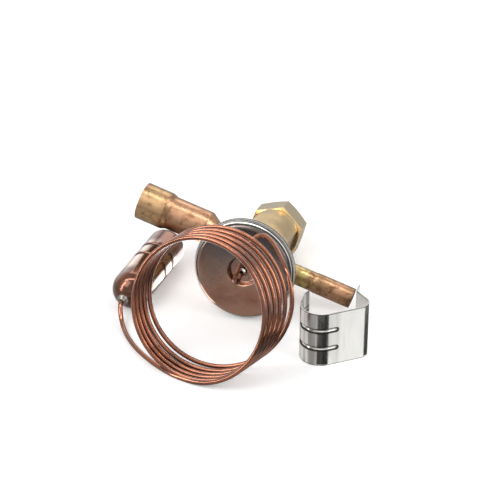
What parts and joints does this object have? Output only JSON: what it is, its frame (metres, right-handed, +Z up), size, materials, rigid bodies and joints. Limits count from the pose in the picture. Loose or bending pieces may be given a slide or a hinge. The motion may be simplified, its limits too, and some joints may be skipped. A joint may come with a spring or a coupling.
{
  "type": "thermostatic expansion valve",
  "caption": "Refrigerant expansion valve with a disc-shaped power element, brazed tube ends, a coiled capillary tube with sensing bulb, and a loose bulb clip.",
  "frame": {"origin": "under the middle of the bounding box, on the surface that the set lies on", "axes": "+Z up from that surface; +Y away from the power element's face, roughly along the valve body towards its hexagonal end; +X roughly towards the inlet tube"},
  "size_m": [0.1146, 0.1342, 0.0607],
  "materials": {
    "stainless": "bright drawn stainless steel",
    "clip_steel": "bright spring steel strip",
    "brass": "machined brass, slightly heat tinted",
    "copper": "drawn copper",
    "tinted_copper": "copper, heat tinted by brazing",
    "braze": "brazing alloy as run",
    "steel": "ground steel",
    "packing": "white fluoropolymer",
    "rubber": "black rubber"
  },
  "bodies": {
    "valve": {"upper_shell": "stainless", "lower_shell": "stainless", "diaphragm": "steel", "rod_packing": "packing", "capillary_ferrule": "brass", "capillary_solder": "braze", "valve_body": "brass", "seat_insert": "steel", "superheat_spring": "steel", "stem_gland": "brass", "stem_packing": "rubber", "inlet_tube": "tinted_copper", "outlet_tube": "tinted_copper", "inlet_braze_ring": "braze", "outlet_braze_ring": "braze", "capillary_tube": "copper", "sensing_bulb": "copper", "bulb_bead": "braze", "bulb_clip": "clip_steel"},
    "pin": {"diaphragm_pad": "steel", "push_rod": "steel", "valve_pin": "steel", "pin_carrier": "brass"},
    "seat_nut": {"spring_seat": "brass"},
    "stem": {"adjusting_stem": "brass"},
    "gasket": {"cap_gasket": "packing"},
    "cap": {"seal_cap": "brass"}
  },
  "joints": [
    {"name": "pin_travel", "type": "slide", "parent": "valve", "child": "pin", "axis": [0.2734, 0.9472, -0.1673], "range_m": [0, 0.0008], "stiffness_N_per_m": 3000, "springref_m": -0.003, "deforming": ["superheat_spring", "diaphragm"]},
    {"name": "spring_seat_travel", "type": "slide", "parent": "valve", "child": "seat_nut", "axis": [-0.2734, -0.9472, 0.1673], "range_m": [-0.0016, 0.0016], "deforming": ["superheat_spring"]},
    {"name": "stem_turn", "type": "hinge", "parent": "valve", "child": "stem", "pos_m": [0.0161, 0.04152, 0.01554], "axis": [0.2734, 0.9472, -0.1673], "range_deg": [-720.1, 720.1]},
    {"name": "cap_travel", "type": "slide", "parent": "valve", "child": "gasket", "axis": [0.2734, 0.9472, -0.1673], "range_m": [0, 0.00625]},
    {"name": "cap_turn", "type": "hinge", "parent": "gasket", "child": "cap", "pos_m": [0.02047, 0.05667, 0.01286], "axis": [0.2734, 0.9472, -0.1673], "range_deg": [0, 1800.1]}
  ],
  "couplings": [
    {"joint": "stem_turn", "follows": "spring_seat_travel", "rad_per_m": 7854},
    {"joint": "cap_turn", "follows": "cap_travel", "rad_per_m": 5026.5}
  ]
}
